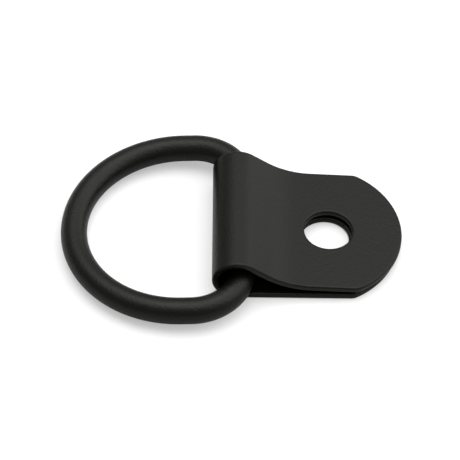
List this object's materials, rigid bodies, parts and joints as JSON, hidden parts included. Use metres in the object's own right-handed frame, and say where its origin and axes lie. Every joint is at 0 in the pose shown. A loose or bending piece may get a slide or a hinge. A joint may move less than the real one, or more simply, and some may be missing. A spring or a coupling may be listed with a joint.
{
  "type": "d-ring cable hook",
  "caption": "Bent-rod D-ring held loosely in the barrel of a folded sheet clip with one screw hole, to hold or tie cables at a rack.",
  "frame": {"origin": "on the axis of the screw hole, in the clip's flat underside, which lies against the surface it is screwed to", "axes": "+Z out of the mounting surface along the screw hole; +X along the clip towards its rounded tip; the ring lies towards -X and its leg runs along Y"},
  "size_m": [0.0465, 0.0332, 0.0068],
  "materials": {
    "coated_sheet": "matte black powder coat, fine texture",
    "coated_rod": "matte black powder coat, fine texture"
  },
  "bodies": {
    "clip": {"folded_clip": "coated_sheet"},
    "ring": {"d_ring": "coated_rod"}
  },
  "joints": [
    {"name": "ring_swing", "type": "hinge", "parent": "clip", "child": "ring", "pos_m": [-0.01146, 0, 0.0028], "axis": [0, 1, 0], "range_deg": [0, 181]}
  ]
}
